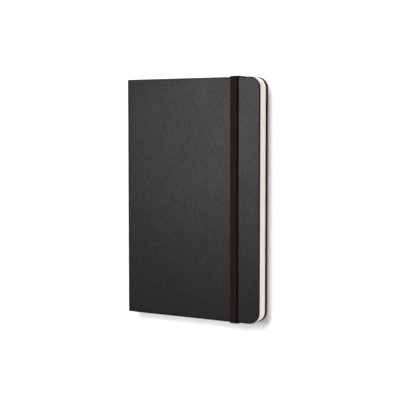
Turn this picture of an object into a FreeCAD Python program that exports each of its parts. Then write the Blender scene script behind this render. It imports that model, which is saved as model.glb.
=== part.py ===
"""Pocket notebook: a case-bound block of sewn signatures with a board pocket and an elastic closure.

Frame: the closed notebook lies on its back cover. +Z is out of the front cover, +Y is towards the
head, +X is towards the fore edge, and the origin is the centre of the back cover's outer face.
All lengths are in millimetres.
"""

import FreeCAD
import Part
import os
import Sketcher

SIGNATURES = 10
STITCHES = 5
SIDES = {"head": 1, "tail": -1}

DIMENSIONS = {
    "cover_width": 90.0,
    "cover_height": 140.0,
    "closed_thickness": 10.5,
    "corner_radius": 6.5,
    "case_thickness": 1.6,
    "wrap_thickness": 0.2,
    "joint_reach": 2.0,
    "turn_in": 12.0,
    "square": 0.3,
    "spine_clearance": 2.4,
    "pastedown_inset": 1.2,
    "endpaper": 0.1,
    "sheet_gap": 0.02,
    "signature_thickness": 0.594,
    "signature_gap": 0.023,
    "thread_radius": 0.12,
    "stitch_length": 14.0,
    "stitch_pitch": 25.0,
    "gusset_thickness": 0.3,
    "gusset_depth": 8.0,
    "panel_thickness": 0.35,
    "panel_left": 40.0,
    "panel_right": 42.0,
    "panel_half": 66.0,
    "panel_radius": 5.0,
    "lining_thickness": 0.15,
    "band_width": 5.2,
    "band_thickness": 0.6,
    "band_inset": 16.0,
    "band_clearance": 0.02,
    "channel_clearance": 0.3,
    "channel_depth": 0.65,
    "slot_inset": 10.0,
    "slot_length": 0.8,
    "anchor_length": 12.0,
    "anchor_depth": 0.6,
}

doc = FreeCAD.newDocument("pocket_notebook")
subparts = []


def make_sheet():
    """The spreadsheet of driving dimensions, one alias a row."""
    sheet = doc.addObject("Spreadsheet::Sheet", "dims")
    for row, (alias, value) in enumerate(DIMENSIONS.items(), start=1):
        sheet.set(f"A{row}", alias)
        sheet.set(f"B{row}", str(value))
        sheet.setAlias(f"B{row}", alias)
    doc.recompute()


def d(alias):
    """The expression that reads one cell."""
    return f"dims.{alias}"


# Levels and edges that several sub-parts share, as expressions of the cells.
FORE_EDGE = f"{d('cover_width')} / 2"
HALF_HEIGHT = f"{d('cover_height')} / 2"
JOINT_EDGE = f"(-{d('cover_width')} / 2 + {d('joint_reach')})"
BLOCK_EDGE = f"(-{d('cover_width')} / 2 + {d('spine_clearance')})"
SPINE_INSIDE = f"(-{d('cover_width')} / 2 + {d('case_thickness')})"
FRONT_UNDERSIDE = f"({d('closed_thickness')} - {d('case_thickness')})"
GUSSET_LEVEL = f"({d('case_thickness')} + {d('endpaper')})"
PANEL_LEVEL = f"({GUSSET_LEVEL} + {d('gusset_thickness')} + {d('sheet_gap')})"
FLYLEAF_LEVEL = f"({PANEL_LEVEL} + {d('panel_thickness')} + {d('sheet_gap')})"
BLOCK_LEVEL = f"({FLYLEAF_LEVEL} + {d('endpaper')} + {d('sheet_gap')})"
SIGNATURE_PITCH = f"({d('signature_thickness')} + {d('signature_gap')})"
BAND_CENTRE = f"({d('cover_width')} / 2 - {d('band_inset')})"


def keep(feature, name):
    """Lists a finished object as the sub-part called name."""
    feature.Label = name
    subparts.append((name, feature))
    return feature


def place(feature, x="0", y="0", z="0"):
    """Binds where an object stands to expressions."""
    feature.setExpression("Placement.Base.x", x)
    feature.setExpression("Placement.Base.y", y)
    feature.setExpression("Placement.Base.z", z)


def box(name, left, right, near, far, bottom, top):
    """A Part::Box between six planes, each given as an expression."""
    made = doc.addObject("Part::Box", name)
    made.setExpression("Length", f"({right}) - ({left})")
    made.setExpression("Width", f"({far}) - ({near})")
    made.setExpression("Height", f"({top}) - ({bottom})")
    place(made, left, near, bottom)
    return made


def cut(name, base, tool):
    made = doc.addObject("Part::Cut", name)
    made.Base = base
    made.Tool = tool
    return made


def fuse(name, pieces):
    made = doc.addObject("Part::MultiFuse", name)
    made.Shapes = pieces
    return made


def sheet_outline(sketch, left, right, half, radius):
    """A page outline: square at the spine, with round corners at the fore edge."""
    corner = FreeCAD.Vector
    start, end, side, bend = -40.0, 40.0, 60.0, 5.0
    up = corner(0, 0, 1)
    arc_low = Part.Circle(corner(end - bend, -side + bend, 0), up, bend)
    arc_high = Part.Circle(corner(end - bend, side - bend, 0), up, bend)
    quarter = 1.5707963267948966
    tail, low, fore, high, head, spine = sketch.addGeometry(
        [
            Part.LineSegment(corner(start, -side, 0), corner(end - bend, -side, 0)),
            Part.ArcOfCircle(arc_low, -quarter, 0),
            Part.LineSegment(corner(end, -side + bend, 0), corner(end, side - bend, 0)),
            Part.ArcOfCircle(arc_high, 0, quarter),
            Part.LineSegment(corner(end - bend, side, 0), corner(start, side, 0)),
            Part.LineSegment(corner(start, side, 0), corner(start, -side, 0)),
        ],
        False,
    )
    origin = -1
    rule = Sketcher.Constraint
    sketch.addConstraint(
        [
            rule("Tangent", tail, 2, low, 1),
            rule("Tangent", low, 2, fore, 1),
            rule("Tangent", fore, 2, high, 1),
            rule("Tangent", high, 2, head, 1),
            rule("Coincident", head, 2, spine, 1),
            rule("Coincident", spine, 2, tail, 1),
            rule("Horizontal", tail),
            rule("Horizontal", head),
            rule("Vertical", fore),
            rule("Vertical", spine),
            rule("Equal", low, high),
        ]
    )
    sizes = {
        "left": (rule("DistanceX", spine, 1, origin, 1, -start), f"-({left})"),
        "right": (rule("DistanceX", origin, 1, fore, 1, end), right),
        "tail_side": (rule("DistanceY", tail, 1, origin, 1, side), half),
        "head_side": (rule("DistanceY", origin, 1, head, 1, side), half),
        "bend": (rule("Radius", low, bend), radius),
    }
    for label, (constraint, expression) in sizes.items():
        sketch.renameConstraint(sketch.addConstraint(constraint), label)
        sketch.setExpression(f"Constraints.{label}", expression)


def plate(name, left, right, half, radius, bottom, thickness):
    """A flat sheet or board: a PartDesign body that pads a page outline."""
    body = doc.addObject("PartDesign::Body", name)
    sketch = body.newObject("Sketcher::SketchObject", f"{name}_outline")
    plane = next(f for f in body.Origin.OriginFeatures if f.Role == "XY_Plane")
    sketch.AttachmentSupport = [(plane, "")]
    sketch.MapMode = "FlatFace"
    sheet_outline(sketch, left, right, half, radius)
    pad = body.newObject("PartDesign::Pad", f"{name}_pad")
    pad.Profile = sketch
    pad.setExpression("Length", thickness)
    place(body, z=bottom)
    return body


def inset(extra):
    """The right edge, half height and radius of a sheet that is inset from the covers by extra."""
    return (
        f"{FORE_EDGE} - ({extra})",
        f"{HALF_HEIGHT} - ({extra})",
        f"max({d('corner_radius')} - ({extra}); 1)",
    )


def band_box(name, half_width, near, far, bottom, top):
    """A box centred on the elastic band's line."""
    left = f"{BAND_CENTRE} - ({half_width})"
    right = f"{BAND_CENTRE} + ({half_width})"
    return box(name, left, right, near, far, bottom, top)


def across(name, side, half_width, inner, outer, bottom, top):
    """A band box between two distances from the middle of the notebook, at the head or the tail."""
    near, far = (inner, outer) if SIDES[side] > 0 else (f"-({outer})", f"-({inner})")
    return band_box(f"{name}_{side}", half_width, near, far, bottom, top)


def case_board(name, bottom):
    """The stiff board of one cover, inset by the wrap, and the blank that its wrap is cut from."""
    right, half, radius = inset(d("wrap_thickness"))
    left = f"({JOINT_EDGE} + {d('wrap_thickness')})"
    core_level = f"({bottom}) + {d('wrap_thickness')}"
    core_depth = f"{d('case_thickness')} - 2 * {d('wrap_thickness')}"
    board = plate(f"{name}_core", left, right, half, radius, core_level, core_depth)
    right, half, radius = inset("0")
    blank = plate(
        f"{name}_blank", JOINT_EDGE, right, half, radius, bottom, d("case_thickness")
    )
    return board, blank


def window(name, bottom):
    """The inner face of a cover that the turned-in edges of the wrap leave bare."""
    right, half, _ = inset(d("turn_in"))
    left = f"{JOINT_EDGE} + {d('joint_reach')}"
    return plate(name, left, right, half, "1", bottom, d("wrap_thickness"))


def pastedown(name, bottom):
    right, half, radius = inset(d("pastedown_inset"))
    left = f"{JOINT_EDGE} + {d('wrap_thickness')}"
    return keep(plate(name, left, right, half, radius, bottom, d("endpaper")), name)


def make_front_cover():
    board, blank = case_board("front_board", FRONT_UNDERSIDE)
    keep(board, "front_board")
    infill = keep(window("front_infill", FRONT_UNDERSIDE), "front_infill")
    tools = fuse("front_wrap_tools", [board, infill])
    keep(cut("front_wrap", blank, tools), "front_wrap")
    pastedown("front_pastedown", f"{FRONT_UNDERSIDE} - {d('endpaper')}")


def make_back_cover():
    """The back cover has a pressed channel and a slot for each end of the elastic band."""
    wall = d("wrap_thickness")
    core, blank = case_board("back_board", "0")
    half_width = f"{d('band_width')} / 2 + {d('channel_clearance')}"
    slot_outer = f"{HALF_HEIGHT} - {d('slot_inset')}"
    slot_inner = f"{slot_outer} - {d('slot_length')}"
    recess_inner = f"{slot_outer} - {d('anchor_length')}"
    inside = d("case_thickness")
    channels, beds, spaces = [], [], []
    for side in SIDES:
        channels.append(
            across("channel", side, half_width, slot_inner, f"{HALF_HEIGHT} + 1", "-1", d("channel_depth"))
        )
        beds.append(
            across(
                "bed",
                side,
                f"{half_width} + {wall}",
                f"{slot_inner} - {wall}",
                f"{HALF_HEIGHT} + 1",
                "-1",
                f"{d('channel_depth')} + {wall}",
            )
        )
        spaces.append(across("slot", side, half_width, slot_inner, slot_outer, "-1", f"{inside} + 1"))
        floor = f"{inside} - {d('anchor_depth')}"
        spaces.append(
            across("recess", side, half_width, recess_inner, slot_outer, floor, f"{inside} + 1")
        )
    pressed = cut("back_board_pressed", core, fuse("beds", beds))
    openings = fuse("anchor_spaces", spaces)
    keep(cut("back_board", pressed, openings), "back_board")
    bare = window("back_window", f"{inside} - {wall}")
    keep(cut("back_infill", bare, openings), "back_infill")
    tools = fuse("back_wrap_tools", [pressed, bare, openings, *channels])
    keep(cut("back_wrap", blank, tools), "back_wrap")
    pastedown("back_pastedown", inside)


def make_spine():
    """A stiff strip between the two joints, with its own run of wrap and a paper lining."""
    wall = d("wrap_thickness")
    outside = f"-{d('cover_width')} / 2"
    low = d("joint_reach")
    high = f"{d('closed_thickness')} - {d('joint_reach')}"
    board = keep(
        box(
            "spine_board",
            f"{outside} + {wall}",
            f"{SPINE_INSIDE} - {wall}",
            f"-{HALF_HEIGHT} + {wall}",
            f"{HALF_HEIGHT} - {wall}",
            f"{low} + {wall}",
            f"{high} - {wall}",
        ),
        "spine_board",
    )
    blank = box("spine_blank", outside, SPINE_INSIDE, f"-{HALF_HEIGHT}", HALF_HEIGHT, low, high)
    keep(cut("spine_wrap", blank, board), "spine_wrap")
    keep(
        box(
            "spine_lining",
            SPINE_INSIDE,
            f"{SPINE_INSIDE} + {d('lining_thickness')}",
            f"-{HALF_HEIGHT} + {d('pastedown_inset')}",
            f"{HALF_HEIGHT} - {d('pastedown_inset')}",
            low,
            high,
        ),
        "spine_lining",
    )


def make_joint(name, level, turn):
    """The quarter-round run of wrap at one joint, centred on (JOINT_EDGE, level)."""
    rings = []
    for part, radius in (
        ("outer", d("joint_reach")),
        ("inner", f"{d('joint_reach')} - 2 * {d('wrap_thickness')}"),
    ):
        ring = doc.addObject("Part::Cylinder", f"{name}_{part}")
        ring.setExpression("Radius", radius)
        ring.setExpression("Height", d("cover_height"))
        ring.Angle = 90.0
        along_y = FreeCAD.Rotation(FreeCAD.Vector(1, 0, 0), -90)
        ring.Placement = FreeCAD.Placement(
            FreeCAD.Vector(), along_y * FreeCAD.Rotation(FreeCAD.Vector(0, 0, 1), turn)
        )
        place(ring, JOINT_EDGE, f"-{HALF_HEIGHT}", level)
        rings.append(ring)
    keep(cut(name, *rings), name)


def make_pocket():
    """A card pocket on the back pastedown: a panel hinged at the spine side, and folded gussets."""
    gusset_top = f"{GUSSET_LEVEL} + {d('gusset_thickness')}"
    for side, sign in SIDES.items():
        inner = f"{d('panel_half')} - {d('gusset_depth')}"
        outer = d("panel_half")
        near, far = (inner, outer) if sign > 0 else (f"-({outer})", f"-({inner})")
        name = f"pocket_gusset_{side}"
        left, right = f"-{d('panel_left')} + 1", f"{d('panel_right')} - {d('panel_radius')}"
        keep(box(name, left, right, near, far, GUSSET_LEVEL, gusset_top), name)
    name = "pocket_panel"
    panel = plate(
        name,
        f"-{d('panel_left')}",
        d("panel_right"),
        d("panel_half"),
        d("panel_radius"),
        PANEL_LEVEL,
        d("panel_thickness"),
    )
    keep(panel, name)


def leaf(name, bottom, thickness):
    """A sheet or signature of the text block."""
    right, half, radius = inset(d("square"))
    return keep(plate(name, BLOCK_EDGE, right, half, radius, bottom, thickness), name)


def make_thread(number, bottom):
    """The sewing that shows along the fold of one signature, as separate stitches."""
    stitches = []
    for index in range(STITCHES):
        stitch = doc.addObject("Part::Cylinder", f"stitch_{number:02d}_{index}")
        stitch.setExpression("Radius", d("thread_radius"))
        stitch.setExpression("Height", d("stitch_length"))
        stitch.Placement.Rotation = FreeCAD.Rotation(FreeCAD.Vector(1, 0, 0), -90)
        middle = f"{index - (STITCHES - 1) / 2} * {d('stitch_pitch')}"
        place(
            stitch,
            f"{BLOCK_EDGE} - {d('thread_radius')}",
            f"{middle} - {d('stitch_length')} / 2",
            f"{bottom} + {d('signature_thickness')} / 2",
        )
        stitches.append(stitch)
    thread = doc.addObject("Part::Compound", f"thread_{number:02d}")
    thread.Links = stitches
    keep(thread, f"thread_{number:02d}")


def make_block():
    leaf("back_flyleaf", FLYLEAF_LEVEL, d("endpaper"))
    for number in range(1, SIGNATURES + 1):
        bottom = f"({BLOCK_LEVEL} + {number - 1} * {SIGNATURE_PITCH})"
        leaf(f"signature_{number:02d}", bottom, d("signature_thickness"))
        make_thread(number, bottom)
    leaf("front_flyleaf", f"({BLOCK_LEVEL} + {SIGNATURES} * {SIGNATURE_PITCH})", d("endpaper"))


def make_band():
    """The elastic band round the closed notebook, and the two ends glued inside the back cover."""
    clear = d("band_clearance")
    thick = d("band_thickness")
    half_width = f"{d('band_width')} / 2"
    reach = f"({HALF_HEIGHT} + 0.05)"
    top = f"({d('closed_thickness')} + {clear})"
    loop = band_box(
        "band_loop", half_width, f"-({reach} + {thick})", f"{reach} + {thick}", clear, f"{top} + {thick}"
    )
    hollow = band_box("band_hollow", f"{half_width} + 1", f"-{reach}", reach, f"{clear} + {thick}", top)
    stub_end = f"({HALF_HEIGHT} - {d('slot_inset')} + 0.1)"
    gap = band_box("band_gap", f"{half_width} + 1", f"-{stub_end}", stub_end, "-1", f"{top} - 1")
    keep(cut("elastic_band", loop, fuse("band_tools", [hollow, gap])), "elastic_band")
    outer = f"{HALF_HEIGHT} - {d('slot_inset')} - 0.1"
    inner = f"{HALF_HEIGHT} - {d('slot_inset')} - {d('anchor_length')} + 0.1"
    ceiling = d("case_thickness")
    floor = f"{d('case_thickness')} - {d('anchor_depth')} + {clear}"
    for side in SIDES:
        rise = across("anchor_rise", side, half_width, f"{outer} - {thick}", outer, clear, ceiling)
        tab = across("anchor_tab", side, half_width, inner, outer, floor, ceiling)
        keep(fuse(f"elastic_anchor_{side}", [rise, tab]), f"elastic_anchor_{side}")


def check_and_write():
    """Stops on any failed object, then writes each sub-part."""
    for item in doc.Objects:
        if {"Invalid", "Error"} & set(item.State):
            raise RuntimeError(f"{item.Name} failed: {item.State}")
    os.makedirs("parts", exist_ok=True)
    for name, item in subparts:
        shape = item.Shape
        if shape.isNull() or not shape.isValid() or not shape.Solids:
            raise RuntimeError(f"{name} has no valid solid")
        shape.exportStep(f"parts/{name}.step")
    print(f"{len(subparts)} sub-parts written")


make_sheet()
make_back_cover()
make_spine()
make_front_cover()
make_joint("back_joint_cloth", d("joint_reach"), 90)
make_joint("front_joint_cloth", f"{d('closed_thickness')} - {d('joint_reach')}", 180)
make_pocket()
make_block()
make_band()
doc.recompute()
check_and_write()
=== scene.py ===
"""The looks of a pocket notebook: case, sewn ivory pages, card pocket and elastic band."""

import math
import random

import bmesh
import bpy
from mathutils import Matrix, Vector


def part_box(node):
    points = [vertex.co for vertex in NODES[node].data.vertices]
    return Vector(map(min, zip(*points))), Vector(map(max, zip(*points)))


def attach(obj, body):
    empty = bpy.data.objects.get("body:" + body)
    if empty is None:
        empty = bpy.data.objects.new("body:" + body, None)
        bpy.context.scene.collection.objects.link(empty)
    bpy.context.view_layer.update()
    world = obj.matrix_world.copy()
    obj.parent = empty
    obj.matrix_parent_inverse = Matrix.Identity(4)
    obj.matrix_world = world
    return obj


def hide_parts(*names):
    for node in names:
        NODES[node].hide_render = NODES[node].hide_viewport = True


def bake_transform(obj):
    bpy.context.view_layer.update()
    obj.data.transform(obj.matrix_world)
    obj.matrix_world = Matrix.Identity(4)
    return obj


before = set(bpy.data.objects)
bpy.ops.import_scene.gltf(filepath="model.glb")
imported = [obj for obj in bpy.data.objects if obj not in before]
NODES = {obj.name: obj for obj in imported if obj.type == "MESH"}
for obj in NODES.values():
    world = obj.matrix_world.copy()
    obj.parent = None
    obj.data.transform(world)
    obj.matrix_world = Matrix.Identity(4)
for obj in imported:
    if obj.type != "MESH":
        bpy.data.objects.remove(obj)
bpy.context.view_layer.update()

MM = 0.001
QUARTER = math.pi / 2
SHARP_ANGLE = 35.0

# Sizes of the closed notebook, in millimetres, in the CAD frame.
HALF_WIDTH, HALF_HEIGHT, THICK = 45.0, 70.0, 10.5
CORNER = 6.5
CASE = 1.6
WRAP = 0.2
TURN_IN = 12.0
JOINT = 2.0
JOINT_X = -HALF_WIDTH + JOINT
EDGE_ROUND = 0.5
ENDPAPER = 0.1
ENDPAPER_HINGE_X = -42.2
LINING_X = -43.19  # the middle of an endpaper that is glued to the spine lining

# The elastic band, and the channel, slot and recess at each end of the back cover that it fits.
BAND_X, BAND_WIDTH, BAND_THICK = 29.0, 5.2, 0.6
BAND_RIBS = 11
BAND_GAP = 0.02
CHANNEL_SIDE, CHANNEL_DEPTH = 0.3, 0.65
SLOT_OUTER = HALF_HEIGHT - 10.0
SLOT_INNER = SLOT_OUTER - 0.8
RECESS_INNER = SLOT_OUTER - 12.0
RECESS_DEPTH = 0.6
CUTTER_LOW, CUTTER_HIGH, CUTTER_FAR = -1.0, CASE + 0.9, HALF_HEIGHT + 2.0

# The pages, their thread and the pocket.
SIGNATURES, SHEETS = 10, 4
STITCHES, STITCH_LENGTH, STITCH_PITCH = 5, 14.0, 25.0
POCKET_HALF = 66.0
# Where a leaf is divided, from the middle of the page to just short of its fold.
SPINE_STATIONS = [30.0, 10.0, -10.0, -20.0] + [-22.0 - 1.5 * i for i in range(13)] + [-41.2]


# ---------------------------------------------------------------- meshes


def add_object(name, verts, faces, body=None, smooth_angle=SHARP_ANGLE):
    """An object from vertices in millimetres, its normals outward and smooth below an angle."""
    mesh = bpy.data.meshes.new(name)
    mesh.from_pydata([(x * MM, y * MM, z * MM) for x, y, z in verts], [], faces)
    work = bmesh.new()
    work.from_mesh(mesh)
    bmesh.ops.recalc_face_normals(work, faces=work.faces)
    work.to_mesh(mesh)
    work.free()
    mesh.shade_smooth()
    mesh.set_sharp_from_angle(angle=math.radians(smooth_angle))
    obj = bpy.data.objects.new(name, mesh)
    bpy.context.scene.collection.objects.link(obj)
    if body:
        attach(obj, body)
    return obj


def outline(left, right, half, radius, steps=14):
    """Three sides of a page: from the tail corner at the spine, round the fore edge, to the head."""
    points = [(left, -half)]
    centre_x = right - radius
    for turn, centre_y in ((-QUARTER, -half + radius), (0.0, half - radius)):
        for i in range(steps + 1):
            a = turn + QUARTER * i / steps
            points.append((centre_x + radius * math.cos(a), centre_y + radius * math.sin(a)))
    points.append((left, half))
    return points


def slab_mesh(left, right, half, radius, rings):
    """A solid slab from rings of (inset, z), listed from its top face to its bottom face."""
    verts, faces = [], []
    for inset, z in rings:
        ring = outline(left, right - inset, half - inset, max(radius - inset, 0.5))
        verts += [(x, y, z) for x, y in ring]
    count = len(verts) // len(rings)
    for ring in range(len(rings) - 1):
        start = ring * count
        for i in range(count - 1):
            a = start + i
            faces.append((a, a + 1, a + 1 + count, a + count))
    last = (len(rings) - 1) * count
    faces.append(tuple(range(count)))
    faces.append(tuple(range(last + count - 1, last - 1, -1)))
    tail_side = [ring * count for ring in range(len(rings))]
    head_side = [ring * count + count - 1 for ring in range(len(rings))]
    faces.append(tuple(tail_side + head_side[::-1]))
    return verts, faces


def round_rings(bottom, top, rounding, steps=6):
    """The rings of a slab whose upper and lower edges are rounded, with a flat ring inside each."""
    flat = rounding + 1.0
    rings = [(flat, top)]
    for i in range(steps + 1):
        a = QUARTER * i / steps
        rings.append((rounding * (1 - math.sin(a)), top - rounding * (1 - math.cos(a))))
    for i in range(steps + 1):
        a = QUARTER * i / steps
        rings.append((rounding * (1 - math.cos(a)), bottom + rounding * (1 - math.sin(a))))
    rings.append((flat, bottom))
    return rings


def cutter(name, low, high):
    """A box between two corners, used only to cut another piece."""
    (x0, y0, z0), (x1, y1, z1) = low, high
    verts = [(x, y, z) for x in (x0, x1) for y in (y0, y1) for z in (z0, z1)]
    faces = [
        (0, 1, 3, 2),
        (4, 6, 7, 5),
        (0, 4, 5, 1),
        (2, 3, 7, 6),
        (0, 2, 6, 4),
        (1, 5, 7, 3),
    ]
    return add_object(name, verts, faces)


def cut_away(obj, tools):
    """Subtracts each tool from the object and removes the tool."""
    for tool in tools:
        modifier = obj.modifiers.new("cut", "BOOLEAN")
        modifier.operation = "DIFFERENCE"
        modifier.solver = "EXACT"
        modifier.object = tool
        graph = bpy.context.evaluated_depsgraph_get()
        mesh = bpy.data.meshes.new_from_object(obj.evaluated_get(graph))
        obj.modifiers.clear()
        obj.data = mesh
        bpy.data.objects.remove(tool)
    obj.data.shade_smooth()
    obj.data.set_sharp_from_angle(angle=math.radians(SHARP_ANGLE))


def heading(line, i):
    """The direction of a line of flat points at one of them, taken between its neighbours."""
    ahead, behind = line[min(i + 1, len(line) - 1)], line[max(i - 1, 0)]
    return Vector((ahead[0] - behind[0], ahead[1] - behind[1])).normalized()


# ---------------------------------------------------------------- case


def channel_boxes(name, clearance, ceiling):
    """The two pressed channels for the band in the back cover, as boxes that overshoot its edge."""
    half = BAND_WIDTH / 2 + CHANNEL_SIDE + clearance
    boxes = []
    for label, sign in (("head", 1), ("tail", -1)):
        near, far = sorted((sign * (SLOT_INNER - clearance), sign * CUTTER_FAR))
        low, high = (BAND_X - half, near, CUTTER_LOW), (BAND_X + half, far, ceiling)
        boxes.append(cutter(f"{name}_{label}", low, high))
    return boxes


def anchor_boxes(name):
    """The slots that the band's ends go up through, and the recesses that they are glued into."""
    half = BAND_WIDTH / 2 + CHANNEL_SIDE
    parts = (("slot", SLOT_INNER, CUTTER_LOW), ("recess", RECESS_INNER, CASE - RECESS_DEPTH))
    boxes = []
    for label, sign in (("head", 1), ("tail", -1)):
        for part, inner, bottom in parts:
            near, far = sorted((sign * inner, sign * SLOT_OUTER))
            low, high = (BAND_X - half, near, bottom), (BAND_X + half, far, CUTTER_HIGH)
            boxes.append(cutter(f"{name}_{part}_{label}", low, high))
    return boxes


def make_cover(name, bottom, inner_face, body, is_back):
    """One cover's leatherette: a rounded shell round its board, open where the infill shows."""
    top = bottom + CASE
    rings = round_rings(bottom, top, EDGE_ROUND)
    shell = add_object(name, *slab_mesh(JOINT_X, HALF_WIDTH, HALF_HEIGHT, CORNER, rings))
    core_rings = [(WRAP, top - WRAP), (WRAP, bottom + WRAP)]
    core = add_object(
        f"{name}_core",
        *slab_mesh(JOINT_X + WRAP, HALF_WIDTH, HALF_HEIGHT, CORNER, core_rings),
    )
    outward = -1 if is_back else 1
    deep, clear = inner_face + outward * 1.5 * WRAP, inner_face - outward * 0.5 * WRAP
    low, high = sorted((deep, clear))
    window = cutter(
        f"{name}_window",
        (JOINT_X + JOINT, -HALF_HEIGHT + TURN_IN, low),
        (HALF_WIDTH - TURN_IN, HALF_HEIGHT - TURN_IN, high),
    )
    if is_back:
        cut_away(core, channel_boxes("bed", WRAP, CHANNEL_DEPTH + WRAP))
        cut_away(shell, channel_boxes("channel", 0.0, CHANNEL_DEPTH))
    cut_away(shell, [core, window])
    if is_back:
        cut_away(shell, anchor_boxes("anchor"))
    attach(shell, body)
    return shell


def edge_depth(inset):
    """How far the outside has dropped at an inset from the head or tail edge."""
    run = EDGE_ROUND - inset
    return EDGE_ROUND - math.sqrt(max(EDGE_ROUND**2 - run**2, 0.0))


def strip_section(thickness, both_sides):
    """The cross-section of a strip of case: (y, depth below the outside) round its whole edge."""
    flat = HALF_HEIGHT - 1.5
    insets = [EDGE_ROUND * (1 - math.sin(QUARTER * i / 6)) for i in range(7)]
    outside = [(flat, 0.0)]
    for inset in insets:
        depth = edge_depth(inset)
        if depth < thickness:
            outside.append((HALF_HEIGHT - inset, depth))
    if both_sides:
        mirrored = [(HALF_HEIGHT - inset, thickness - edge_depth(inset)) for inset in insets]
        inside = [point for point in mirrored[::-1] if point[1] > EDGE_ROUND + 0.05]
        inside = sorted(inside, key=lambda point: point[1])
    else:
        inside = [(HALF_HEIGHT - 0.01, thickness)]
    inside.append((flat, thickness))
    side = dedupe(outside + inside)
    return side + [(-y, depth) for y, depth in side[::-1]]


def dedupe(points):
    """Drops points that repeat the one before."""
    kept = []
    for point in points:
        if not kept or math.dist(point, kept[-1]) > 1e-4:
            kept.append(point)
    return kept


def loft(sections):
    """A closed solid through cross-sections that all have the same number of points."""
    count = len(sections[0])
    verts = [point for section in sections for point in section]
    faces = [tuple(range(count))]
    for s in range(len(sections) - 1):
        for i in range(count):
            j = (i + 1) % count
            a, b = s * count, (s + 1) * count
            faces.append((a + i, a + j, b + j, b + i))
    last = (len(sections) - 1) * count
    faces.append(tuple(range(last + count - 1, last - 1, -1)))
    return verts, faces


def make_joint(name, centre_z, upward, node, bodies, steps=24):
    """The curved run of leatherette between the spine and one cover."""
    section = strip_section(2 * WRAP, False)
    sections = []
    for i in range(steps + 1):
        a = QUARTER * i / steps
        points = []
        for y, depth in section:
            radius = JOINT - depth
            z = centre_z + upward * radius * math.cos(a)
            points.append((JOINT_X - radius * math.sin(a), y, z))
        sections.append(points)
    strip = add_object(name, *loft(sections))
    if bodies[0] == "spine":
        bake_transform(strip)
    else:
        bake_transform(strip)
    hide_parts(node)
    return strip


def make_spine():
    """The stiff strip of case between the two joints, with its rounded ends."""
    section = strip_section(CASE, True)
    levels = [JOINT + (THICK - 2 * JOINT) * i / 6 for i in range(7)]
    sections = [[(-HALF_WIDTH + depth, y, z) for y, depth in section] for z in levels]
    strip = add_object("spine_cover", *loft(sections), body="spine")
    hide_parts("spine_wrap", "spine_board")
    return strip


# ---------------------------------------------------------------- paper


def page_half(x, right, half, radius):
    """Half the height of a page at x, which falls away round its fore-edge corners."""
    run = x - (right - radius)
    if run <= 0:
        return half
    return half - radius + math.sqrt(max(radius**2 - run**2, 0.0))


def fore_edge_stations(right, radius, steps=10):
    """Values of x across a page's round corners, closest together at the fore edge."""
    return [right - radius + radius * math.sin(QUARTER * i / steps) for i in range(steps + 1)]


def thicken(line, thickness, half_at):
    """A thin sheet along a line of (x, z) points, as wide as half_at(x) allows at each."""
    sections = []
    for i, (x, z) in enumerate(line):
        run = heading(line, i)
        nx, nz = -run.y * thickness / 2, run.x * thickness / 2
        half = half_at(x)
        over = [(x + nx, -half, z + nz), (x + nx, half, z + nz)]
        under = [(x - nx, half, z - nz), (x - nx, -half, z - nz)]
        sections.append(over + under)
    return loft(sections)


def merged(parts):
    """Several (vertices, faces) pairs as one."""
    verts, faces = [], []
    for part_verts, part_faces in parts:
        base = len(verts)
        verts += part_verts
        faces += [tuple(base + i for i in face) for face in part_faces]
    return verts, faces


def leaf_body(number):
    """The CAD body of a signature; the one after the last is the front flyleaf's."""
    if number == 0:
        return "back_cover"
    return f"leaves_{number:02d}" if number <= SIGNATURES else "front_leaf"


def bend_out(obj, number):
    """Attaches a piece of the first signature to that signature's body; any other keeps its place,
    with its transform applied to its mesh.
    """
    if number == 1:  # lies on the pocket panel, which lifts with it
        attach(obj, leaf_body(number))
        return
    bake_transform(obj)


def make_flyleaf(name, node, number):
    """A single leaf of endpaper, trimmed a hair inside its CAD sheet."""
    low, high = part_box(node)
    right, half = high.x / MM - 0.08, high.y / MM - 0.06
    radius = CORNER - (HALF_WIDTH - right)
    level = (low.z + high.z) / 2 / MM
    line = [(x, level) for x in fore_edge_stations(right, radius)[::-1]]
    line += [(x, level) for x in SPINE_STATIONS + [-41.8, -42.2, low.x / MM]]

    def half_at(x):
        return page_half(x, right, half, radius)

    sheet = thicken(line, (high.z - low.z) / MM, half_at)
    flyleaf = add_object(name, *sheet, smooth_angle=50.0)
    bend_out(flyleaf, number)
    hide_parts(node)
    return flyleaf


def make_signature(number, rng):
    """Four sheets folded into each other, so eight leaves, each a hair out of line at the edges."""
    fore_scatter, trim_scatter, turn_steps, paper_share = 0.16, 0.12, 6, 0.8
    node = f"signature_{number:02d}"
    low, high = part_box(node)
    left, right = low.x / MM, high.x / MM
    half, bottom, top = high.y / MM, low.z / MM, high.z / MM
    middle = (bottom + top) / 2
    fold = left + (top - bottom) / 2
    pitch = (top - bottom) / (2 * SHEETS)
    radius = CORNER - (HALF_WIDTH - right)
    parts = []
    for sheet in range(SHEETS):
        reach = (top - bottom) / 2 - pitch * (sheet + 0.5)
        lower = right - rng.uniform(0.0, fore_scatter)
        upper = right - rng.uniform(0.0, fore_scatter)
        trim = half - rng.uniform(0.0, trim_scatter)

        def half_at(x, edge=min(lower, upper), trim=trim):
            return page_half(min(x, edge), edge, trim, radius)

        line = [(x, middle - reach) for x in fore_edge_stations(lower, radius)[::-1]]
        line += [(x, middle - reach) for x in SPINE_STATIONS]
        for i in range(turn_steps + 1):
            a = -QUARTER - math.pi * i / turn_steps
            line.append((fold + reach * math.cos(a), middle + reach * math.sin(a)))
        line += [(x, middle + reach) for x in SPINE_STATIONS[::-1]]
        line += [(x, middle + reach) for x in fore_edge_stations(upper, radius)]
        parts.append(thicken(line, pitch * paper_share, half_at))
    pages = add_object(f"pages_{number:02d}", *merged(parts), smooth_angle=50.0)
    bend_out(pages, number)
    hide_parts(node)
    return pages


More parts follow.
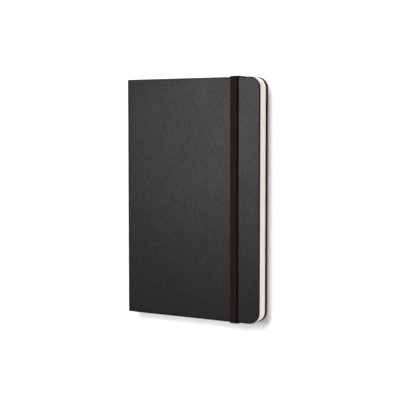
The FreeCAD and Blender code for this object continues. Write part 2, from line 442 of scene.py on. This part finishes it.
def make_stitches(number):
    """Two-ply thread along a signature's fold, diving into the paper at each end of a stitch."""
    node = f"thread_{number:02d}"
    low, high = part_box(node)
    radius = (high.x - low.x) / 2 / MM
    x = (low.x + high.x) / 2 / MM
    z = (low.z + high.z) / 2 / MM
    deepest, twist_rate, steps, corners = 0.22, 2.4, 42, 10
    parts = []
    for stitch in range(STITCHES):
        start = (stitch - (STITCHES - 1) / 2) * STITCH_PITCH - STITCH_LENGTH / 2
        sections = []
        for i in range(steps + 1):
            run = STITCH_LENGTH * i / steps
            y = start + run
            to_end = min(run, STITCH_LENGTH - run)
            dive = deepest * (1 - min(1.0, to_end)) ** 2
            twist = run * twist_rate
            ring = []
            for k in range(corners):
                a = math.tau * k / corners
                lobe = radius * (0.74 + 0.22 * math.cos(2 * (a - twist)))
                ring.append((x + dive + lobe * math.cos(a), y, z + lobe * math.sin(a)))
            sections.append(ring)
        parts.append(loft(sections))
    thread = add_object(f"stitches_{number:02d}", *merged(parts), smooth_angle=60.0)
    bend_out(thread, number)
    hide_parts(node)
    return thread


def make_endpaper(name, node, level, inward):
    """A pastedown whose spine edge carries on over the joint and down onto the spine lining."""
    bend, bend_steps, onto_lining = 0.5, 8, (0.7, 0.9, 1.1)
    low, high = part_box(node)
    right, half = high.x / MM, high.y / MM
    radius = CORNER - (HALF_WIDTH - right)
    line = [(x, level) for x in fore_edge_stations(right, radius)[::-1]]
    line += [(x, level) for x in (20.0, 0.0, -20.0, -38.0, -41.0, ENDPAPER_HINGE_X)]
    centre_x, centre_z = LINING_X + bend, level + inward * bend
    for i in range(bend_steps + 1):
        a = QUARTER * i / bend_steps
        line.append((centre_x - bend * math.sin(a), centre_z - inward * bend * math.cos(a)))
    line += [(LINING_X, level + inward * run) for run in onto_lining]

    def half_at(x):
        return page_half(x, right, half, radius)

    endpaper = add_object(name, *thicken(line, 0.9 * ENDPAPER, half_at), smooth_angle=50.0)
    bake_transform(endpaper)
    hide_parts(node)
    return endpaper


def make_gusset(side, sign):
    """A cloth gusset folded once, between the back pastedown and the pocket's panel."""
    thickness, columns, fold_steps, runs = 0.11, 40, 8, (0.0, 1.8, 3.6, 5.4)
    node = f"pocket_gusset_{side}"
    low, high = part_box(node)
    left, right = low.x / MM, high.x / MM
    bottom, top = low.z / MM, high.z / MM
    outer, inner = POCKET_HALF - 0.3, POCKET_HALF - 7.6
    lower, upper = bottom + thickness / 2 + 0.01, top - thickness / 2
    reach = (upper - lower) / 2
    middle = (upper + lower) / 2
    line = [(outer - run, lower) for run in runs]
    for i in range(fold_steps + 1):
        a = -QUARTER - math.pi * i / fold_steps
        line.append((inner + reach * (1 + math.cos(a)), middle + reach * math.sin(a)))
    line += [(outer - run, upper) for run in runs[::-1]]
    over, under = [], []
    for i, (y, z) in enumerate(line):
        run = heading(line, i)
        oy, oz = -run.y * thickness / 2, run.x * thickness / 2
        over.append((sign * (y + oy), z + oz))
        under.append((sign * (y - oy), z - oz))
    sections = []
    for c in range(columns + 1):
        x = left + (right - left) * c / columns
        sections.append([(x, y, z) for y, z in over + under[::-1]])
    cloth = add_object(f"gusset_{side}", *loft(sections), smooth_angle=60.0)
    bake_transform(cloth)
    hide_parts(node)
    return cloth


# ---------------------------------------------------------------- elastic band


def filleted(corners, radii, steps=8):
    """A line through corners in a plane, with each inner corner rounded to its own radius."""
    line = [Vector(corners[0])]
    for before, here, after, radius in zip(corners, corners[1:], corners[2:], radii):
        here = Vector(here)
        inward = (Vector(before) - here).normalized()
        onward = (Vector(after) - here).normalized()
        centre = here + (inward + onward) * radius
        for i in range(steps + 1):
            a = QUARTER * i / steps
            line.append(centre - onward * radius * math.cos(a) - inward * radius * math.sin(a))
    line.append(Vector(corners[-1]))
    return line


def refined(line, longest):
    """The same line with no run longer than a limit."""
    fine = [line[0]]
    for a, b in zip(line, line[1:]):
        count = max(1, math.ceil((b - a).length / longest))
        fine += [a.lerp(b, i / count) for i in range(1, count + 1)]
    return fine


def band_section(per_rib=4):
    """Half-thickness across the band's width: a row of ribs that fall away to a bound edge."""
    binding, relief = 0.28, 0.045
    count = BAND_RIBS * per_rib
    rows = []
    for i in range(count + 1):
        f = i / count
        rib = 0.5 - 0.5 * math.cos(math.tau * f * BAND_RIBS)
        edge = min(1.0, min(f, 1 - f) * BAND_WIDTH / binding)
        roundness = math.sqrt(max(1 - (1 - edge) ** 2, 0.03))
        rows.append(((f - 0.5) * BAND_WIDTH, (BAND_THICK / 2 - relief * (1 - rib)) * roundness))
    return rows


def make_band():
    """One woven elastic strap: glued end, slot, channel, round the head, down the front, and back."""
    low, high = BAND_GAP + BAND_THICK / 2, THICK + BAND_GAP + BAND_THICK / 2
    edge = HALF_HEIGHT + 0.05 + BAND_THICK / 2
    slot = (SLOT_INNER + SLOT_OUTER) / 2
    end, tab = RECESS_INNER + 0.3, CASE - 0.01 - BAND_THICK / 2
    half_path = [(end, tab), (slot, tab), (slot, low), (edge, low), (edge, high)]
    corners = half_path + [(-y, z) for y, z in half_path[::-1]]
    tight, wide = 0.4, 0.65
    radii = [tight, tight, wide, wide, wide, wide, tight, tight]
    line = refined(filleted(corners, radii), 0.8)
    section = band_section()
    sections = []
    for i, point in enumerate(line):
        run = heading(line, i)
        normal = Vector((-run.y, run.x))
        top = [(BAND_X + w, *(point + normal * t)) for w, t in section]
        under = [(BAND_X + w, *(point - normal * t)) for w, t in section]
        sections.append(top + under[::-1])
    band = add_object("elastic_strap", *loft(sections), smooth_angle=60.0)
    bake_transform(band)
    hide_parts("elastic_band", "elastic_anchor_head", "elastic_anchor_tail")
    return band


# ---------------------------------------------------------------- materials


class Shader:
    """A small helper that adds nodes to one material and joins them."""

    def __init__(self, name):
        self.material = bpy.data.materials.new(name)
        self.material.use_nodes = True
        self.tree = self.material.node_tree
        self.surface = self.tree.nodes["Principled BSDF"]
        self.place = self.add("ShaderNodeTexCoord").outputs["Object"]

    def add(self, kind, inputs=None, **settings):
        node = self.tree.nodes.new(kind)
        for key, value in settings.items():
            setattr(node, key, value)
        for key, value in (inputs or {}).items():
            self.give(node, key, value)
        return node

    def give(self, node, key, value):
        if isinstance(value, bpy.types.NodeSocket):
            self.tree.links.new(value, node.inputs[key])
        else:
            node.inputs[key].default_value = value

    def scaled(self, size):
        """Coordinates in which one unit is size millimetres along each axis."""
        node = self.add("ShaderNodeMapping", {"Vector": self.place})
        node.inputs["Scale"].default_value = [1 / (s * MM) for s in size]
        return node.outputs["Vector"]

    def noise(self, size, detail=3.0, rough=0.55):
        inputs = {"Vector": self.scaled(size), "Scale": 1.0, "Detail": detail, "Roughness": rough}
        return self.add("ShaderNodeTexNoise", inputs).outputs["Fac"]

    def cells(self, size, feature="DISTANCE_TO_EDGE"):
        inputs = {"Vector": self.scaled(size), "Scale": 1.0}
        node = self.add("ShaderNodeTexVoronoi", inputs, feature=feature)
        return node.outputs["Distance"]

    def wave(self, size, axis, distortion=0.0, detail=0.0):
        """A sine that repeats every size millimetres along one axis; unscaled, every pi / 10."""
        inputs = {
            "Vector": self.scaled((size,) * 3),
            "Scale": math.pi / 10,
            "Distortion": distortion,
            "Detail": detail,
        }
        node = self.add("ShaderNodeTexWave", inputs, bands_direction=axis, wave_profile="SIN")
        return node.outputs["Fac"]

    def span(self, value, low, high, to_low=0.0, to_high=1.0):
        inputs = {
            "Value": value,
            "From Min": low,
            "From Max": high,
            "To Min": to_low,
            "To Max": to_high,
        }
        return self.add("ShaderNodeMapRange", inputs).outputs["Result"]

    def math(self, operation, a, b):
        return self.add("ShaderNodeMath", {0: a, 1: b}, operation=operation).outputs[0]

    def mix(self, factor, a, b):
        node = self.add("ShaderNodeMix", data_type="RGBA")
        self.give(node, 0, factor)
        self.give(node, 6, a)
        self.give(node, 7, b)
        return node.outputs[2]

    def colour(self, value):
        self.give(self.surface, "Base Color", value)

    def rough(self, value):
        self.give(self.surface, "Roughness", value)

    def gloss(self, value):
        self.give(self.surface, "Specular IOR Level", value)

    def bump(self, layers):
        """Chains bumps, each given as (height, depth in millimetres)."""
        normal = None
        for height, depth in layers:
            inputs = {"Height": height, "Strength": 1.0, "Distance": depth * MM}
            node = self.add("ShaderNodeBump", inputs)
            if normal:
                self.give(node, "Normal", normal)
            normal = node.outputs["Normal"]
        self.give(self.surface, "Normal", normal)

    def set(self, **values):
        for key, value in values.items():
            self.surface.inputs[key.replace("_", " ")].default_value = value


def srgb(r, g, b):
    """A linear colour from 0 to 255 display values."""

    def line(c):
        c /= 255
        return c / 12.92 if c <= 0.04045 else ((c + 0.055) / 1.055) ** 2.4

    return (line(r), line(g), line(b), 1.0)


def leatherette():
    """Charcoal coated cloth: a fine pebble, tonal drift, and uneven gloss from handling."""
    s = Shader("leatherette")
    pebble = s.cells((0.45, 0.45, 0.45), "SMOOTH_F1")
    fine = s.noise((0.16, 0.16, 0.16), 2.0)
    creases = s.noise((1.3, 2.2, 1.3), 3.0)
    rubbed = s.noise((0.9, 3.4, 0.9), 4.0, 0.7)
    drift = s.noise((22.0, 30.0, 22.0), 4.0)
    tone = s.mix(s.span(drift, 0.3, 0.7), srgb(9, 7, 7), srgb(16, 14, 13))
    crest = s.span(pebble, 0.1, 0.55)
    tone = s.mix(s.math("MULTIPLY", crest, 0.5), srgb(22, 19, 18), tone)
    s.colour(tone)
    s.gloss(s.span(rubbed, 0.34, 0.66, 0.086, 0.143))
    unevenness = s.math("ADD", drift, s.math("MULTIPLY", fine, 0.4))
    s.rough(s.span(unevenness, 0.3, 1.1, 0.31, 0.39))
    s.bump([(creases, 0.02), (pebble, -0.012), (fine, 0.003)])
    s.set(Specular_Tint=(1.0, 0.965, 0.965, 1))
    return s.material


def paper(name, light, dark, grain=0.03, stripe=None):
    """Paper with soft fibre mottling; stripe adds fine lines across the thickness for page edges."""
    s = Shader(name)
    mottle = s.noise((6.0, 6.0, 0.6), 5.0)
    fibre = s.noise((0.5, 0.12, 0.2), 3.0)
    tone = s.mix(s.span(mottle, 0.3, 0.7), dark, light)
    if stripe:
        lines = s.noise((30.0, 30.0, stripe), 2.0, 0.7)
        shade = s.math("MULTIPLY", s.span(lines, 0.35, 0.65), 0.22)
        tone = s.mix(shade, tone, srgb(204, 198, 187))
    s.colour(tone)
    s.rough(s.span(fibre, 0.2, 0.8, 0.82, 0.94))
    s.bump([(fibre, grain * 0.2), (mottle, grain)])
    s.set(Specular_IOR_Level=0.25)
    return s.material


def greyboard():
    """Recycled board: soft mottling with darker flecks."""
    s = Shader("greyboard")
    fleck = s.cells((0.5, 0.9, 0.4), "F1")
    mottle = s.noise((2.5, 2.5, 0.3), 5.0)
    tone = s.mix(s.span(mottle, 0.3, 0.7), srgb(150, 145, 136), srgb(172, 167, 157))
    tone = s.mix(s.span(fleck, 0.0, 0.12), srgb(112, 106, 98), tone)
    s.colour(tone)
    s.rough(s.span(mottle, 0.2, 0.8, 0.85, 0.95))
    s.bump([(mottle, 0.05)])
    return s.material


def woven_elastic():
    """Near-black knitted elastic: lengthwise ribs, a fine crosswise stitch, and painted shade that
    darkens its +x edge.
    """
    s = Shader("woven_elastic")
    ribs = s.wave(BAND_WIDTH / BAND_RIBS, "X")
    along = s.wave(0.42, "Y", 1.2, 2.0)
    upright = s.wave(0.42, "Z", 1.2, 2.0)
    stitch = s.math("MULTIPLY", s.math("ADD", along, upright), 0.5)
    fuzz = s.noise((0.09, 0.09, 0.09), 2.0)
    weave = s.math("ADD", s.math("MULTIPLY", ribs, 0.6), s.math("MULTIPLY", stitch, 0.4))
    tone = s.mix(s.span(weave, 0.15, 0.85), srgb(12, 9, 8), srgb(28, 22, 20))
    across = s.add("ShaderNodeSeparateXYZ", {0: s.place}).outputs["X"]
    # Painted shade: the band's +x edge is darkened to near black, standing in for the shade where its
    # side turns from the light.
    painted_shade_edge = s.span(across, (BAND_X + 1.2) * MM, (BAND_X + 2.2) * MM)
    s.colour(s.mix(painted_shade_edge, tone, srgb(2, 1, 1)))
    s.rough(s.span(fuzz, 0.2, 0.8, 0.72, 0.9))
    s.bump([(ribs, 0.03), (stitch, 0.02), (fuzz, 0.004)])
    s.set(Specular_IOR_Level=0.05)
    return s.material


def woven_cloth(name, light, dark):
    """A plain weave of two threads."""
    s = Shader(name)
    warp = s.wave(0.3, "X", 0.4, 1.0)
    weft = s.wave(0.3, "Y", 0.4, 1.0)
    weave = s.math("MAXIMUM", warp, weft)
    s.colour(s.mix(s.span(weave, 0.4, 1.0), dark, light))
    s.rough(s.span(weave, 0.0, 1.0, 0.95, 0.8))
    s.bump([(weave, 0.05)])
    s.set(Sheen_Weight=0.1)
    return s.material


def thread_material():
    """Waxed linen thread with a little fuzz."""
    s = Shader("thread")
    fuzz = s.noise((0.05, 0.2, 0.05), 2.0)
    s.colour(s.mix(s.span(fuzz, 0.3, 0.7), srgb(226, 220, 204), srgb(243, 239, 228)))
    s.rough(s.span(fuzz, 0.2, 0.8, 0.6, 0.8))
    s.bump([(fuzz, 0.02)])
    return s.material


def floor_material():
    """A matt white sweep with a faint grain."""
    s = Shader("floor")
    grain = s.noise((3.0, 3.0, 3.0), 3.0)
    s.colour(s.mix(s.span(grain, 0.3, 0.7), (0.79, 0.79, 0.79, 1), (0.8, 0.8, 0.8, 1)))
    s.rough(s.span(grain, 0.3, 0.7, 0.9, 0.95))
    s.set(Specular_IOR_Level=0.1)
    return s.material


def wear(material, *objs):
    """Gives each object one material."""
    for obj in objs:
        obj.data.materials.clear()
        obj.data.materials.append(material)


# ---------------------------------------------------------------- studio


def make_camera():
    """The camera stands to the fore-edge side of the front cover and a little above its middle."""
    turn, pitch, distance = math.radians(30.85), math.radians(3.88), 0.6163
    target, shift_x, shift_y = Vector((0, 0, 0.01)), -0.00516, 0.0007
    right = Vector((math.cos(turn), 0, -math.sin(turn)))
    ahead = Vector((math.sin(turn), 0, math.cos(turn)))
    up = Vector((0, math.cos(pitch), 0)) - ahead * math.sin(pitch)
    back = right.cross(up)
    data = bpy.data.cameras.new("camera")
    data.lens, data.sensor_width = 95.13, 36.0
    camera = bpy.data.objects.new("camera", data)
    camera.matrix_world = Matrix((right, up, back)).transposed().to_4x4()
    camera.location = target - right * shift_x - up * shift_y + back * distance
    bpy.context.scene.collection.objects.link(camera)
    bpy.context.scene.camera = camera


def make_light(name, place, size, power):
    """A round soft light, aimed at the middle of the notebook."""
    data = bpy.data.lights.new(name, "AREA")
    data.shape = "DISK"
    data.size = size
    data.energy = power
    light = bpy.data.objects.new(name, data)
    light.location = place
    light.rotation_euler = (-Vector(place)).to_track_quat("-Z", "Y").to_euler()
    bpy.context.scene.collection.objects.link(light)


def make_floor():
    """A wide white floor just below the notebook's back cover."""
    size, level = 8000.0, -0.05
    corners = [(x, y, level) for x, y in ((-size, -size), (size, -size), (size, size), (-size, size))]
    floor = add_object("floor", corners, [(0, 1, 2, 3)])
    wear(floor_material(), floor)


def make_world():
    """A white studio: bright walls low down, and a dimmer ceiling for the cover to reflect."""
    by_height = {"From Min": 0.05, "From Max": 0.55, "To Min": 0.8, "To Max": 0.32}
    world = bpy.data.worlds.new("studio")
    world.use_nodes = True
    tree = world.node_tree
    place = tree.nodes.new("ShaderNodeTexCoord")
    split = tree.nodes.new("ShaderNodeSeparateXYZ")
    height = tree.nodes.new("ShaderNodeMapRange")
    background = tree.nodes["Background"]
    tree.links.new(place.outputs["Generated"], split.inputs[0])
    tree.links.new(split.outputs["Z"], height.inputs["Value"])
    tree.links.new(height.outputs["Result"], background.inputs["Strength"])
    for key, value in by_height.items():
        height.inputs[key].default_value = value
    background.inputs["Color"].default_value = (1, 1, 1, 1)
    bpy.context.scene.world = world
    bpy.context.scene.view_settings.view_transform = "Standard"


def make_case():
    """Both covers, the spine and the two joints, all in leatherette."""
    front = make_cover("front_leatherette", THICK - CASE, THICK - CASE, "front_cover", False)
    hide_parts("front_wrap")
    back = make_cover("back_leatherette", 0.0, CASE, "back_cover", True)
    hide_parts("back_wrap")
    spine = make_spine()
    front_bodies, back_bodies = ("spine", "front_cover"), ("back_cover", "spine")
    front_joint = make_joint("front_joint", THICK - JOINT, 1, "front_joint_cloth", front_bodies)
    back_joint = make_joint("back_joint", JOINT, -1, "back_joint_cloth", back_bodies)
    wear(leatherette(), front, back, spine, front_joint, back_joint)


def make_block():
    """The endpapers, flyleaves, sewn signatures and their thread."""
    rng = random.Random(7)
    front_level, back_level = THICK - CASE - ENDPAPER / 2, CASE + ENDPAPER / 2
    front = make_endpaper("front_endpaper", "front_pastedown", front_level, -1)
    back = make_endpaper("back_endpaper", "back_pastedown", back_level, 1)
    ivory, ivory_dark = srgb(243, 239, 235), srgb(239, 234, 228)
    wear(
        paper("endpaper", ivory, ivory_dark),
        front,
        back,
        make_flyleaf("front_fly", "front_flyleaf", SIGNATURES + 1),
        make_flyleaf("back_fly", "back_flyleaf", 1),
    )
    numbers = range(1, SIGNATURES + 1)
    pages = [make_signature(number, rng) for number in numbers]
    wear(paper("page_paper", ivory, ivory_dark, 0.02, 0.12), *pages)
    wear(thread_material(), *[make_stitches(number) for number in numbers])


def make_pocket():
    """The two gussets; the panel keeps its CAD shape."""
    gussets = [make_gusset("head", 1), make_gusset("tail", -1)]
    wear(woven_cloth("gusset_cloth", srgb(206, 199, 183), srgb(170, 161, 143)), *gussets)
    card = paper("pocket_card", srgb(240, 233, 219), srgb(232, 224, 207), 0.04)
    wear(card, NODES["pocket_panel"])


def dress_kept_nodes():
    """Materials for the boards, the infill cards and the spine lining, which keep their CAD shape."""
    lining = paper("lining_paper", srgb(214, 200, 172), srgb(198, 182, 152), 0.06)
    wear(lining, NODES["spine_lining"])
    wear(greyboard(), NODES["front_board"], NODES["back_board"])
    card = paper("infill_card", srgb(226, 221, 208), srgb(214, 208, 194), 0.05)
    wear(card, NODES["front_infill"], NODES["back_infill"])


def make_studio():
    """The camera, the walls, three lights and the floor."""
    make_camera()
    make_world()
    make_light("overhead", (-0.355, 0.052, 0.80), 0.30, 3.85)
    make_light("window", (-0.13, 0.48, 0.9), 0.40, 9.5)
    make_light("fill", (0.9, -0.25, 0.35), 0.5, 4.2)
    make_floor()


make_studio()
make_case()
make_block()
make_pocket()
dress_kept_nodes()
wear(woven_elastic(), make_band())
